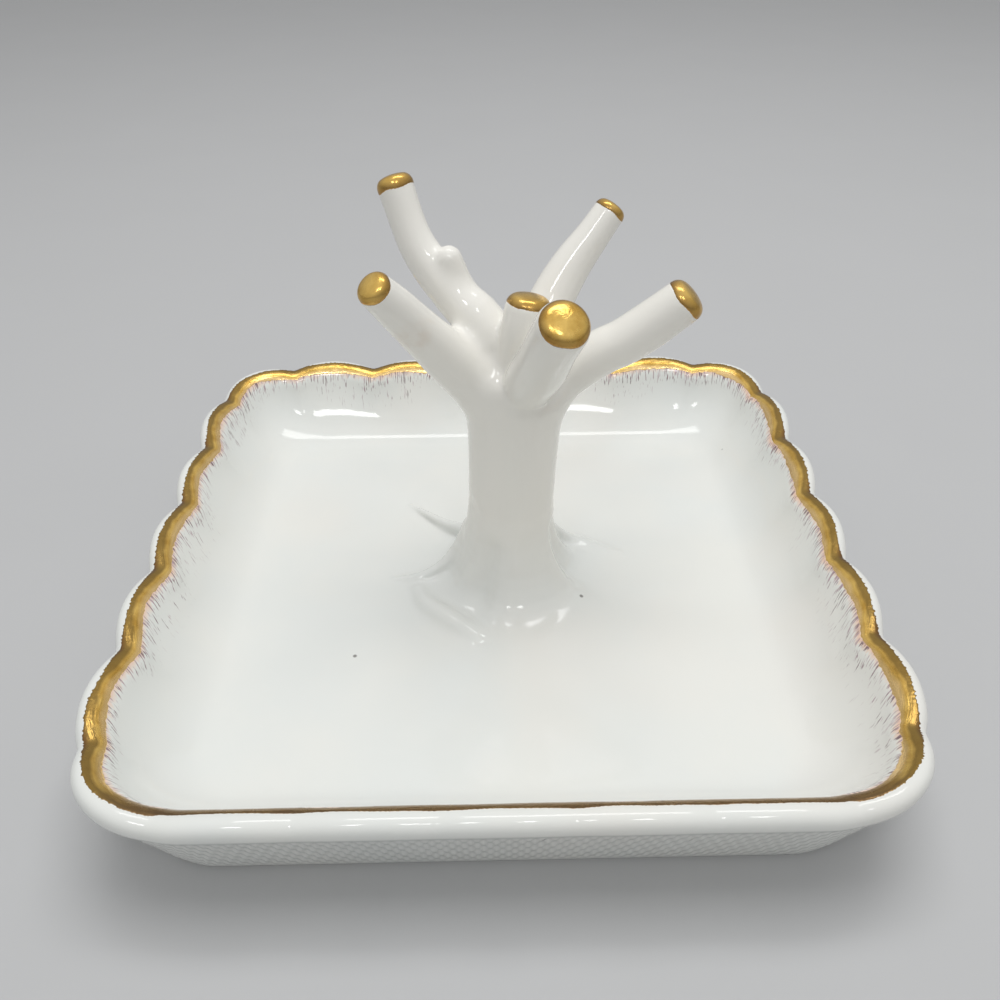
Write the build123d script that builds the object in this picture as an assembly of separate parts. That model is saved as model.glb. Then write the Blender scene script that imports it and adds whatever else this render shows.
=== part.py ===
from build123d import *
from math import asin, cos, degrees, pi, radians, sin, sqrt
import os

# Ring dish: a square porcelain tray with a scalloped, gilded rim, and a small tree in its middle
# whose six branches carry rings. Millimetres, +Z up. The origin is the middle of the tray on the
# plane that it rests on, and -Y is the side that faces the viewer.

# Driving sizes of the tray
TRAY_HALF_WIDTH = 52.75       # middle of the tray to the notch between two lobes, at the lip
TRAY_HEIGHT = 17.0            # resting plane to the lip's crest at a notch
TRAY_CORNER_RADIUS = 16.0     # of the rim's plan
FLOOR_HEIGHT = 6.4            # resting plane to the top of the floor
LOBES_PER_SIDE = 5            # one more lobe goes round each corner
CORNER_NOTCH_SHARE = 0.225    # a side's last notch lies this far into the corner, of its radius
LOBE_REACH = 1.5              # how far a lobe's middle stands out
FRONT_LOBE_REACH = 0.65       # the same for the five shallower lobes of the front side
FRONT_CORNER_REACH = 1.2      # and for the two lobes at the front corners
LOBE_RISE = 1.0               # and how far it stands up

# The tray's wall, measured inwards from the lip's outer face
LIP_WIDTH = 4.4               # outer face to the crease inside
LIP_HEIGHT = 3.0
LIP_CREST_INSET = 1.9
LIP_UNDERCUT = 0.7            # the lip overhangs the outer wall by this much
CREASE_DROP = 1.9             # the crease lies this far below the crest
WALL_BELLY_INSET = 7.4        # a point half way down the inner wall
WALL_BELLY_DROP = 7.4
WALL_FOOT_INSET = 12.0        # where the inner wall runs out into the floor
WALL_FOOT_DIP = 0.3           # the wall's end lies under the floor by this much
BASE_INSET = 5.85
BASE_EDGE_RADIUS = 0.8
FOOT_RING_WIDTH = 3.0
FOOT_RING_DEPTH = 1.2         # the underside is recessed by this much inside the foot ring
FLOOR_LAP = 0.5               # the floor runs into the wall by this much past the foot ring

# The fired gold
GILDING_THICKNESS = 0.15
GILDING_SKIRT = 0.3           # how far the gold comes down a branch below the rounded end

# The tree
TREE_SPREAD = 25.0            # trunk's foot to the furthest tip, measured flat
TREE_RISE = 60.0              # floor to the highest tip
TRUNK_RISE = 40.2             # floor to the top of the crown where the branches part
NECK_RADIUS = 6.6             # the trunk's narrowest radius
ROOT_RISE = 15.0              # the roots have run into the trunk at this height
TIP_EDGE_SHARE = 0.4          # rounding of a tip's edge, of its radius
TIP_CROWN_SHARE = 2.4         # radius of a tip's crown, of its radius
STUB_END_LAP = 0.3            # the twig stub's rounded end goes this far into its stem

# Root reach at headings in degrees from +X, as shares of the neck's radius: the four far ones are
# the roots, the rest are the hollows and the broad flare of the foot between them
ROOT_SHARES = (
    (11, 2.85), (36, 1.75), (68, 2.55), (98, 1.75), (119, 1.95), (135, 3.95), (149, 1.95),
    (164, 1.75), (184, 3.00), (198, 2.20), (216, 2.42), (240, 2.15), (258, 2.42), (284, 2.30),
    (308, 2.45), (323, 2.60), (346, 1.85),
)
# Heights as shares of the roots' rise, with the share of the reach that is left there
ROOT_FADE_SHARES = ((0.0, 1.0), (0.05, 0.88), (0.13, 0.62), (0.27, 0.36), (0.50, 0.16), (1.0, 0.02))
# Trunk above the roots: heights as shares of its rise, radii as shares of the neck's
TRUNK_SHARES = (
    (0.54, 1.01), (0.66, 1.06), (0.75, 1.15), (0.83, 1.28), (0.90, 1.24), (0.965, 0.95), (1.0, 0.55),
)
TRUNK_FOOT_SHARES = (0.27, 0.33)  # x and y of the trunk's foot, as shares of the neck's radius
TRUNK_LEAN_SHARES = (0.14, 0.12)  # how far the crown leans from there, as shares of that radius

# Tip diameters of the six branches
FRONT_TIP_DIAMETER = 6.5
MIDDLE_TIP_DIAMETER = 6.3
RIGHT_TIP_DIAMETER = 6.1
LEFT_TIP_DIAMETER = 4.5
BACK_LEFT_TIP_DIAMETER = 5.1
BACK_RIGHT_TIP_DIAMETER = 4.5
STUB_DIAMETER = 4.6

# Courses of the branches, from the crown outwards. Each point has x and y as shares of the spread,
# height as a share of the way from the trunk's top to the highest tip, so that a point inside the
# crown is below zero, and width as a share of the tip's diameter.
COURSE_SHARES = {
    "front": (
        (0.124, 0.080, -0.394, 1.16), (0.178, -0.080, -0.115, 1.16), (0.232, -0.280, 0.158, 1.11),
        (0.268, -0.440, 0.405, 1.04), (0.310, -0.548, 0.600, 1.0),
    ),
    "middle": (
        (0.110, 0.090, -0.333, 1.36), (0.134, 0.046, 0.000, 1.14), (0.154, 0.020, 0.233, 1.03),
        (0.172, 0.036, 0.382, 1.0),
    ),
    "right": (
        (0.230, 0.110, -0.379, 1.22), (0.392, 0.100, -0.186, 1.12), (0.580, 0.068, 0.010, 1.06),
        (0.696, 0.052, 0.096, 1.06), (0.828, 0.040, 0.224, 1.06), (0.992, 0.024, 0.406, 1.0),
    ),
    "left": (
        (0.060, 0.090, -0.409, 1.86), (-0.096, 0.080, -0.227, 1.86), (-0.260, 0.000, 0.033, 1.62),
        (-0.388, -0.080, 0.268, 1.37), (-0.520, -0.168, 0.520, 1.20), (-0.600, -0.226, 0.670, 1.04),
    ),
    "back_left": (
        (0.080, 0.150, -0.303, 1.50), (-0.004, 0.140, 0.030, 1.42), (-0.100, 0.192, 0.206, 1.34),
        (-0.200, 0.250, 0.315, 1.22), (-0.333, 0.330, 0.491, 1.13), (-0.419, 0.385, 0.636, 1.02),
        (-0.474, 0.436, 0.794, 0.98), (-0.528, 0.498, 1.000, 1.0),
    ),
    "back_right": (
        (0.140, 0.140, -0.273, 1.52), (0.226, 0.200, 0.067, 1.46), (0.322, 0.320, 0.279, 1.40),
        (0.424, 0.400, 0.470, 1.26), (0.540, 0.460, 0.650, 1.08), (0.632, 0.513, 0.796, 1.0),
    ),
}
STUB_COURSE_SHARES = (
    (-0.185, 0.265, 0.303, 1.0), (-0.225, 0.285, 0.509, 0.92), (-0.246, 0.293, 0.600, 0.80),
)
TIP_DIAMETERS = {
    "front": FRONT_TIP_DIAMETER,
    "middle": MIDDLE_TIP_DIAMETER,
    "right": RIGHT_TIP_DIAMETER,
    "left": LEFT_TIP_DIAMETER,
    "back_left": BACK_LEFT_TIP_DIAMETER,
    "back_right": BACK_RIGHT_TIP_DIAMETER,
}


# Tray

def rim_stations(side_reach, corner_reach):
    """Notch, lobe middle, notch ... over one side and one corner: plan point, heading, reach and rise."""
    centre = TRAY_HALF_WIDTH - TRAY_CORNER_RADIUS
    last_notch = centre + CORNER_NOTCH_SHARE * TRAY_CORNER_RADIUS
    half_pitch = last_notch / LOBES_PER_SIDE
    turn = degrees(asin(CORNER_NOTCH_SHARE))
    stations = [corner_station(centre, 90 + turn, 0, 0)]
    for index in range(1, 2 * LOBES_PER_SIDE):
        along = -last_notch + index * half_pitch
        swell = index % 2
        plan = Vector(along, TRAY_HALF_WIDTH)
        stations.append((plan, Vector(0, 1), swell * side_reach, swell * LOBE_RISE))
    stations.append(corner_station(centre, 90 - turn, 0, 0))
    stations.append(corner_station(centre, 45, corner_reach, LOBE_RISE))
    stations.append(corner_station(centre, turn, 0, 0))
    return stations


def corner_station(centre, heading, reach, rise):
    """A place on the rounded corner that faces the given heading."""
    outward = Vector(cos(radians(heading)), sin(radians(heading)))
    side = 1 if heading <= 90 else -1
    return Vector(side * centre, centre) + outward * TRAY_CORNER_RADIUS, outward, reach, rise


def wall_point(station, inset, height):
    """A point of the wall's section. A lobe's reach and rise fade out from the lip to the floor."""
    plan, outward, reach, rise = station
    fade = max(height / TRAY_HEIGHT, 0) ** 2
    flat = plan + outward * (reach * fade - inset)
    return Vector(flat.X, flat.Y, height + rise * fade)


def wall_section(station):
    """The closed upright section of floor edge, foot ring, wall and lip at one station."""
    crease = TRAY_HEIGHT - CREASE_DROP
    under_lip = TRAY_HEIGHT - LIP_HEIGHT
    foot_inner = BASE_INSET + FOOT_RING_WIDTH
    middle = (FOOT_RING_DEPTH + FLOOR_HEIGHT) / 2
    corner = BASE_EDGE_RADIUS * (1 - cos(radians(45)))

    def at(inset, height):
        return wall_point(station, inset, height)

    foot_outer = at(BASE_INSET + BASE_EDGE_RADIUS, 0)
    foot_edge = at(BASE_INSET + corner, corner)
    wall_start = at(BASE_INSET, BASE_EDGE_RADIUS)
    lip_start = at(LIP_UNDERCUT, under_lip)
    lip_outer = at(0, under_lip + LIP_HEIGHT / 2)
    lip_crest = at(LIP_CREST_INSET, TRAY_HEIGHT)
    wall_end = at(WALL_FOOT_INSET, FLOOR_HEIGHT - WALL_FOOT_DIP)
    buried = at(WALL_FOOT_INSET, middle)
    ring_top = at(foot_inner, middle)
    ring_inner = at(foot_inner, 0)
    return Wire([
        Edge.make_three_point_arc(foot_outer, foot_edge, wall_start),
        Edge.make_line(wall_start, lip_start),
        Edge.make_three_point_arc(lip_start, lip_outer, lip_crest),
        lip_inner_arc(station),
        Edge.make_three_point_arc(
            at(LIP_WIDTH, crease), at(WALL_BELLY_INSET, TRAY_HEIGHT - WALL_BELLY_DROP), wall_end),
        Edge.make_line(wall_end, buried),
        Edge.make_line(buried, ring_top),
        Edge.make_line(ring_top, ring_inner),
        Edge.make_line(ring_inner, foot_outer),
    ])


def lip_inner_arc(station, lift=0):
    """The rolled lip from its crest down to the crease inside, raised by a layer's thickness."""
    half_inset = (LIP_CREST_INSET + LIP_WIDTH) / 2
    crest = wall_point(station, LIP_CREST_INSET, TRAY_HEIGHT)
    shoulder = wall_point(station, half_inset, TRAY_HEIGHT - CREASE_DROP / 4)
    crease = wall_point(station, LIP_WIDTH, TRAY_HEIGHT - CREASE_DROP)
    up = Vector(0, 0, lift)
    return Edge.make_three_point_arc(crest + up, shoulder + up, crease + up)


def gilding_section(station):
    """The closed upright section of the gold band that lies on the lip."""
    below = lip_inner_arc(station)
    above = lip_inner_arc(station, GILDING_THICKNESS)
    return Wire([
        below,
        Edge.make_line(below @ 1, above @ 1),
        above,
        Edge.make_line(above @ 0, below @ 0),
    ])


def loft_round_rim(section):
    """Loft a section over each lobe of the four sides and corners, and join the lofts into a ring."""
    side_reaches = (LOBE_REACH, LOBE_REACH, FRONT_LOBE_REACH, LOBE_REACH)
    corner_reaches = (LOBE_REACH, LOBE_REACH, FRONT_CORNER_REACH, FRONT_CORNER_REACH)
    lobes = []
    for side, reaches in enumerate(zip(side_reaches, corner_reaches)):
        stations = rim_stations(*reaches)
        for first in range(0, len(stations) - 1, 2):
            lobe = Solid.make_loft([section(station) for station in stations[first:first + 3]])
            lobes.append(lobe.rotate(Axis.Z, 90 * side))
    return lobes[0].fuse(*lobes[1:])


def rounded_square(half_width, corner_radius, bottom, top):
    """A flat block with rounded upright corners."""
    outline = RectangleRounded(2 * half_width, 2 * half_width, corner_radius)
    return Pos(0, 0, bottom) * extrude(outline, top - bottom)


def make_tray():
    """The wall with its lip and foot ring, and the floor that closes it."""
    inset = BASE_INSET + FOOT_RING_WIDTH - FLOOR_LAP
    floor = rounded_square(
        TRAY_HALF_WIDTH - inset, TRAY_CORNER_RADIUS - inset, FOOT_RING_DEPTH, FLOOR_HEIGHT)
    return loft_round_rim(wall_section) + floor


# Tree

def smooth_step(share):
    """Rise from 0 to 1 with a level start and end."""
    return share * share * (3 - 2 * share)


def root_reach(heading):
    """How far the root outline reaches at a heading, blended between the named roots."""
    for index, (start, reach) in enumerate(ROOT_SHARES):
        end, next_reach = ROOT_SHARES[(index + 1) % len(ROOT_SHARES)]
        span = (end - start) % 360
        along = (heading - start) % 360
        if along < span:
            return NECK_RADIUS * (reach + (next_reach - reach) * smooth_step(along / span))
    return NECK_RADIUS


def trunk_centre(rise):
    """Where the trunk's middle is at a height above the floor."""
    foot_x, foot_y = TRUNK_FOOT_SHARES
    lean_x, lean_y = TRUNK_LEAN_SHARES
    lean = smooth_step(min(rise / TRUNK_RISE, 1))
    across = NECK_RADIUS * (foot_x + lean_x * lean)
    back = NECK_RADIUS * (foot_y + lean_y * lean)
    return Vector(across, back, FLOOR_HEIGHT + rise)


def trunk_section(rise, radius, root_share):
    """One level outline of the trunk, with what is left of the roots there."""
    centre = trunk_centre(rise)
    count = 3 * len(ROOT_SHARES)
    points = []
    for index in range(count):
        heading = 360 * index / count
        reach = radius + (root_reach(heading) - radius) * root_share
        points.append(centre + Vector(reach * cos(radians(heading)), reach * sin(radians(heading))))
    return Wire([Edge.make_spline(points, periodic=True)])


def make_trunk():
    """The trunk from its root outline on the floor up to the crown."""
    sections = []
    for height_share, left in ROOT_FADE_SHARES:
        sections.append(trunk_section(height_share * ROOT_RISE, NECK_RADIUS, left))
    for height_share, radius_share in TRUNK_SHARES:
        sections.append(trunk_section(height_share * TRUNK_RISE, radius_share * NECK_RADIUS, 0))
    return Solid.make_loft(sections)


def course_points(shares):
    """The middle points of a branch in the tray's frame."""
    top = FLOOR_HEIGHT + TRUNK_RISE
    above = TREE_RISE - TRUNK_RISE
    return [Vector(x * TREE_SPREAD, y * TREE_SPREAD, top + z * above) for x, y, z, _ in shares]


def course_loft(shares, diameter):
    """Circles set square to a branch's course, lofted into its stem."""
    points = course_points(shares)
    line = Edge.make_spline(points)
    wires = []
    for index, (_, _, _, width_share) in enumerate(shares):
        at = line.param_at_point(points[index]) if 0 < index < len(points) - 1 else float(index > 0)
        plane = Plane(points[index], z_dir=line % at)
        wires.append(Wire.make_circle(width_share * diameter / 2, plane))
    return Solid.make_loft(wires), Plane(points[-1], z_dir=line % 1)


def domed_outline(radius, spread=0):
    """Half outline of a gently domed end about +Z: a crown on the axis and a rounded edge."""
    edge = TIP_EDGE_SHARE * radius
    crown = TIP_CROWN_SHARE * radius
    sink = -sqrt((crown - edge) ** 2 - (radius - edge) ** 2)
    lean = asin((radius - edge) / (crown - edge))

    def on_crown(angle):
        return Vector((crown + spread) * sin(angle), 0, sink + (crown + spread) * cos(angle))

    def on_edge(angle):
        return Vector(radius - edge + (edge + spread) * sin(angle), 0, (edge + spread) * cos(angle))

    return [
        Edge.make_three_point_arc(on_crown(0), on_crown(lean / 2), on_crown(lean)),
        Edge.make_three_point_arc(on_edge(lean), on_edge((lean + pi / 2) / 2), on_edge(pi / 2)),
    ]


def rounded_end(radius, skirt):
    """A turned solid with a domed end, standing on a short straight skirt."""
    dome = domed_outline(radius)
    foot = Vector(radius, 0, -skirt)
    middle = Vector(0, 0, -skirt)
    outline = dome + [
        Edge.make_line(dome[1] @ 1, foot),
        Edge.make_line(foot, middle),
        Edge.make_line(middle, dome[0] @ 0),
    ]
    return revolve(Face(Wire(outline)), Axis.Z, 360)


def gold_skin(radius, skirt):
    """The thin gold over a domed end and its skirt."""
    inside = domed_outline(radius)
    outside = domed_outline(radius, GILDING_THICKNESS)
    inner_foot = Vector(radius, 0, -skirt)
    outer_foot = Vector(radius + GILDING_THICKNESS, 0, -skirt)
    outline = inside + outside + [
        Edge.make_line(inside[0] @ 0, outside[0] @ 0),
        Edge.make_line(inside[1] @ 1, inner_foot),
        Edge.make_line(inner_foot, outer_foot),
        Edge.make_line(outer_foot, outside[1] @ 1),
    ]
    return revolve(Face(Wire(outline)), Axis.Z, 360)


def make_branch(name):
    """A branch's stem with its rounded end, and the gold over that end."""
    diameter = TIP_DIAMETERS[name]
    radius = diameter / 2
    stem, tip_plane = course_loft(COURSE_SHARES[name], diameter)
    end_plane = tip_plane.offset(GILDING_SKIRT)
    end = end_plane.location * rounded_end(radius, GILDING_SKIRT)
    gold = end_plane.location * gold_skin(radius, GILDING_SKIRT)
    return stem + end, gold


def make_stub():
    """The cut twig on the back left branch: a short stem with a rounded end."""
    stem, plane = course_loft(STUB_COURSE_SHARES, STUB_DIAMETER)
    radius = STUB_COURSE_SHARES[-1][3] * STUB_DIAMETER / 2
    return stem + plane.location * rounded_end(radius, STUB_END_LAP)


def main():
    nodes = {"tray": make_tray(), "rim_gilding": loft_round_rim(gilding_section)}
    trunk = make_trunk()
    nodes["trunk"] = trunk
    cutters = [trunk]
    for name in COURSE_SHARES:
        branch, gold = make_branch(name)
        for cutter in cutters:
            branch = branch - cutter
        nodes[f"branch_{name}"] = branch
        nodes[f"tip_gilding_{name}"] = gold
        cutters.append(branch)
    stub = make_stub()
    for cutter in cutters:
        stub = stub - cutter
    nodes["twig_stub"] = stub

    os.makedirs("parts", exist_ok=True)
    for name, shape in nodes.items():
        solids = shape.solids()
        print(f"{name}: {len(solids)} solid, volume {sum(s.volume for s in solids):.1f} mm3")
        shape.label = name
        export_step(shape, f"parts/{name}.step")


main()
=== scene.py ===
# %% [markdown]
# # A porcelain ring dish
#
# The object is a square porcelain tray with a scalloped, gilded rim, and a small branching tree
# that stands in its middle and holds rings. The CAD model already settles the sizes. This script
# gives it its looks: one smooth glazed skin over the tray, one over the tree, and gold that was
# brushed on by hand. It starts by loading the CAD model as a frame that is never moved.

# %% Load the CAD model as a fixed frame
from math import pi, radians

import bpy
import numpy as np
from mathutils import Matrix, Vector


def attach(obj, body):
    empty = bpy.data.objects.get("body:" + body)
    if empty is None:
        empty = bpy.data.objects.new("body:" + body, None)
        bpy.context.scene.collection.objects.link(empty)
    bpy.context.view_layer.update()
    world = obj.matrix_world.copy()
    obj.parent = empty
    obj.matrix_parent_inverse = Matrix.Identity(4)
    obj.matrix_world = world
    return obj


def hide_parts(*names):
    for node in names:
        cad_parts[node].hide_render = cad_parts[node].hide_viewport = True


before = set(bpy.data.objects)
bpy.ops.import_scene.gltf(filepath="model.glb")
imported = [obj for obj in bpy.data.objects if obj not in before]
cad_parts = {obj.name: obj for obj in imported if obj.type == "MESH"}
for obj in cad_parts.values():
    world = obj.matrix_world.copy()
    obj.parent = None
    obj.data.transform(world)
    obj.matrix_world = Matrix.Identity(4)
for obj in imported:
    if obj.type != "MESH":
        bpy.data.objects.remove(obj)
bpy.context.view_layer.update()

# %% [markdown]
# ## Working in millimetres
#
# Porcelain of this size is thought of in millimetres, and Blender works in metres. So every shape
# below is worked out in millimetres with numpy, and one helper turns rows of points into a mesh.
# A row of rings joined by four-sided faces is the plainest way to skin a turned or swept form,
# and it keeps the faces in tidy loops, which matters on a mirror-like glaze.

# %% A helper that skins rings of points
MM = 0.001


def new_piece(name, points, faces, brush=None):
    """A smooth mesh object from points in millimetres. brush is kept for the painted finishes."""
    mesh = bpy.data.meshes.new(name)
    mesh.from_pydata((np.asarray(points) * MM).tolist(), [], faces)
    mesh.validate()
    mesh.shade_smooth()
    if brush is not None:
        layer = mesh.attributes.new("brush", "FLOAT_VECTOR", "POINT")
        layer.data.foreach_set("vector", np.asarray(brush, np.float32).ravel())
    piece = bpy.data.objects.new(name, mesh)
    bpy.context.collection.objects.link(piece)
    return piece


def ring_faces(rows, columns, closed=False):
    """Four-sided faces between neighbouring rings; closed also joins the last ring to the first."""
    last = rows if closed else rows - 1
    row, column = np.meshgrid(np.arange(last), np.arange(columns), indexing="ij")
    following, beside = (row + 1) % rows, (column + 1) % columns
    quads = np.stack([
        row * columns + column,
        row * columns + beside,
        following * columns + beside,
        following * columns + column,
    ], axis=-1)
    return quads.reshape(-1, 4).tolist()


# %% [markdown]
# ## The camera
#
# The picture was taken from close by, with the phone tilted down and turned a touch. The lobes of
# the rim are evenly spaced on the real tray, so their places in the picture give the camera's
# place and its angles. The lens follows from a frame that is as high as it is wide.

# %% Place the camera
CAMERA_PLACE = (-1.15, -111.58, 108.03)
CAMERA_TILT_DOWN = 37.458
CAMERA_TURN_RIGHT = 0.7504
CAMERA_ROLL = -0.5048
SENSOR_WIDTH = 36.0
LENS_SHARE = 0.91693
NEAREST_SEEN = 0.01

camera_data = bpy.data.cameras.new("camera")
camera_data.sensor_width = SENSOR_WIDTH
camera_data.lens = LENS_SHARE * SENSOR_WIDTH
camera_data.clip_start = NEAREST_SEEN
camera = bpy.data.objects.new("camera", camera_data)
bpy.context.collection.objects.link(camera)
camera.matrix_world = (
    Matrix.Translation(Vector(CAMERA_PLACE) * MM)
    @ Matrix.Rotation(radians(-CAMERA_TURN_RIGHT), 4, "Z")
    @ Matrix.Rotation(radians(90 - CAMERA_TILT_DOWN), 4, "X")
    @ Matrix.Rotation(radians(CAMERA_ROLL), 4, "Z")
)
bpy.context.scene.camera = camera
print(f"camera: lens {camera_data.lens:.1f} mm, {Vector(CAMERA_PLACE).length:.0f} mm from the tray's foot")

# %% [markdown]
# ## The rim's path
#
# The rim was pressed in a mould with five lobes to a side and one round each corner. Each lobe
# swells outwards and a little upwards, and meets its neighbour in a notch that the glaze has
# rounded. The front lobes came out shallower. Everything here is measured along the rim's path, a
# square with rounded corners, because that is how a potter would divide it into lobes.

# %% Divide the rim into lobes
TRAY_HALF_WIDTH = 52.75
TRAY_HEIGHT = 17.0
CORNER_RADIUS = 16.0
LOBES_PER_SIDE = 5
CORNER_NOTCH_SHARE = 0.225
LOBE_REACH = 1.5
FRONT_LOBE_REACH = 0.45
FRONT_CORNER_REACH = 1.2
LOBE_RISE = 1.0
FRONT_LOBE_RISE = 0.6
NOTCH_ROUNDING = 0.16
FRONT_SIDE = 3

straight_half = TRAY_HALF_WIDTH - CORNER_RADIUS
quarter_length = 2 * straight_half + pi / 2 * CORNER_RADIUS
rim_length = 4 * quarter_length


def notch_places():
    """Distances round the rim at which two lobes meet, starting with the right-hand side."""
    last_notch = straight_half + CORNER_RADIUS * np.arcsin(CORNER_NOTCH_SHARE)
    along = np.linspace(-last_notch, last_notch, LOBES_PER_SIDE + 1)
    along[1:-1] = np.linspace(-1, 1, LOBES_PER_SIDE + 1)[1:-1] * (
        straight_half + CORNER_NOTCH_SHARE * CORNER_RADIUS)
    places = [side * quarter_length + straight_half + along for side in range(4)]
    return np.concatenate(places)


print(f"rim: {rim_length:.1f} mm round, {len(notch_places())} lobes")

# %% [markdown]
# One function gives, for many places round the rim, the outward direction and how far the lobe
# swells there. A lobe's plan is a bow, one at its middle and zero at its two notches. Plain bows
# would meet in sharp points, so each is passed through a hyperbola, which rounds the notches.

# %% Places round the rim
def rim_stations(count):
    """Evenly spaced places round the rim."""
    distance = np.arange(count) / count * rim_length
    side = np.floor(distance / quarter_length)
    along = distance - side * quarter_length - straight_half
    turn = np.clip((along - straight_half) / CORNER_RADIUS, 0, None)
    out = np.where(turn > 0, straight_half + CORNER_RADIUS * np.cos(turn), TRAY_HALF_WIDTH)
    aside = np.where(turn > 0, straight_half + CORNER_RADIUS * np.sin(turn), along)
    base = side * pi / 2
    plan = np.stack([
        out * np.cos(base) - aside * np.sin(base),
        out * np.sin(base) + aside * np.cos(base),
    ], axis=-1)
    outward = np.stack([np.cos(base + turn), np.sin(base + turn)], axis=-1)

    notches = notch_places()
    ends = np.append(notches, notches[0] + rim_length)
    turned = np.where(distance < ends[-1], distance, distance - rim_length)
    lobe = np.searchsorted(notches, turned, side="right") - 1
    share = (turned - ends[lobe]) / (ends[lobe + 1] - ends[lobe])
    bow = 4 * share * (1 - share)
    swell = np.hypot(bow, NOTCH_ROUNDING) - NOTCH_ROUNDING
    swell /= np.hypot(1, NOTCH_ROUNDING) - NOTCH_ROUNDING
    reaches = np.full((4, LOBES_PER_SIDE + 1), LOBE_REACH)
    reaches[FRONT_SIDE, :-1] = FRONT_LOBE_REACH
    reaches[FRONT_SIDE - 1:, -1] = FRONT_CORNER_REACH
    rises = np.full((4, LOBES_PER_SIDE + 1), LOBE_RISE)
    rises[FRONT_SIDE, :-1] = FRONT_LOBE_RISE
    anchor = plan - CORNER_RADIUS * outward
    return {
        "distance": distance, "anchor": anchor, "outward": outward, "swell": swell,
        "reach": reaches.ravel()[lobe], "rise": rises.ravel()[lobe]}


print(f"lobes stand {LOBE_REACH} mm out, and {FRONT_LOBE_REACH} mm on the front")

# %% [markdown]
# ## The wall's section
#
# Cut through the wall, the tray shows a foot that it stands on, a wall that leans outwards, a
# rolled lip, and an inner wall that runs out into the floor in a hollow curve. The section is
# drawn once with arcs through three points each. Then it is smoothed a little along its length,
# because a glaze flows over every edge before it is fired hard.

# %% Helpers for arcs and flow
ARC_POINTS = 40
SPREADS_FELT = 4


def arc(start, middle, end):
    """Points along the circle through three places."""
    (ax, ay), (bx, by), (cx, cy) = start, middle, end
    d = 2 * (ax * (by - cy) + bx * (cy - ay) + cx * (ay - by))
    a2, b2, c2 = ax * ax + ay * ay, bx * bx + by * by, cx * cx + cy * cy
    centre = np.array([
        (a2 * (by - cy) + b2 * (cy - ay) + c2 * (ay - by)) / d,
        (a2 * (cx - bx) + b2 * (ax - cx) + c2 * (bx - ax)) / d,
    ])
    spokes = np.array([start, middle, end]) - centre
    first, _, last = np.unwrap(np.arctan2(spokes[:, 1], spokes[:, 0]))
    angles = np.linspace(first, last, ARC_POINTS)
    return centre + np.hypot(*spokes[0]) * np.stack([np.cos(angles), np.sin(angles)], axis=-1)


def evenly(points, step):
    """The same line with its points a given step apart."""
    run = np.append(0, np.cumsum(np.hypot(*np.diff(points, axis=0).T)))
    at = np.linspace(0, run[-1], int(round(run[-1] / step)) + 1)
    return np.stack([np.interp(at, run, points[:, i]) for i in (0, 1)], axis=-1)


def flowed(points, step, spread):
    """The line as the glaze leaves it: each point drawn towards its neighbours."""
    # Beyond the line's ends it goes on as its own mirror image, so its ends stay in place.
    reach = int(SPREADS_FELT * spread / step)
    offsets = np.arange(-reach, reach + 1) * step
    weights = np.exp(-0.5 * (offsets / spread) ** 2)
    before = 2 * points[0] - points[reach:0:-1]
    after = 2 * points[-1] - points[-2:-reach - 2:-1]
    padded = np.concatenate([before, points, after])
    weights /= weights.sum()
    return np.stack([np.convolve(padded[:, i], weights, "valid") for i in (0, 1)], axis=-1)


# %% [markdown]
# The section itself then only needs its named places. The lip is rolled outwards over a small
# undercut, and the inner wall is one hollow arc down to the floor. Below the lip's crease the
# glaze pooled, so the line is smoothed more there.

# %% Draw the section
LIP_WIDTH = 4.4
LIP_CREST_INSET = 1.9
LIP_HEIGHT = 3.0
LIP_UNDERCUT = 0.7
CREASE_DROP = 1.9
SHOULDER_DROP_SHARE = 0.25
WALL_BELLY_INSET = 7.4
WALL_BELLY_DROP = 7.4
WALL_FOOT_INSET = 12.0
FLOOR_RUN = 2.6
FLOOR_HEIGHT = 6.4
BASE_INSET = 5.85
FOOT_RING_WIDTH = 3.0
FOOT_RING_DEPTH = 1.2
FOOT_ROUNDING = 0.8
GLAZE_FLOW = 0.4
FLOOR_FLOW = 1.5
SECTION_STEP = 0.4
FINE_STEP = SECTION_STEP / 4


def wall_section():
    """Inset and height of points from the foot over the lip to the floor."""
    under_lip = TRAY_HEIGHT - LIP_HEIGHT
    shoulder = ((LIP_CREST_INSET + LIP_WIDTH) / 2, TRAY_HEIGHT - CREASE_DROP * SHOULDER_DROP_SHARE)
    crest = (LIP_CREST_INSET, TRAY_HEIGHT)
    crease = (LIP_WIDTH, TRAY_HEIGHT - CREASE_DROP)
    belly = (WALL_BELLY_INSET, TRAY_HEIGHT - WALL_BELLY_DROP)
    corner = FOOT_ROUNDING * (1 - np.cos(pi / 4))
    foot = arc((BASE_INSET + FOOT_ROUNDING, 0), (BASE_INSET + corner, corner), (BASE_INSET, FOOT_ROUNDING))
    lip_start = (LIP_UNDERCUT, under_lip)
    outer = arc(lip_start, (0, under_lip + LIP_HEIGHT / 2), crest)
    inner = arc(crest, shoulder, crease)
    wall = arc(crease, belly, (WALL_FOOT_INSET, FLOOR_HEIGHT))
    floor = np.array([(WALL_FOOT_INSET + FLOOR_RUN, FLOOR_HEIGHT)])
    line = np.concatenate([foot, outer, inner[1:], wall[1:], floor])
    fine = evenly(line, FINE_STEP)
    inside = np.arange(len(fine)) > np.argmax(fine[:, 1])
    low = np.clip((crease[1] - fine[:, 1]) / (crease[1] - FLOOR_HEIGHT), 0, 1) * inside
    crisp = flowed(fine, FINE_STEP, GLAZE_FLOW)
    soft = flowed(fine, FINE_STEP, FLOOR_FLOW)
    return evenly(crisp + (soft - crisp) * low[:, None], SECTION_STEP)


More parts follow.
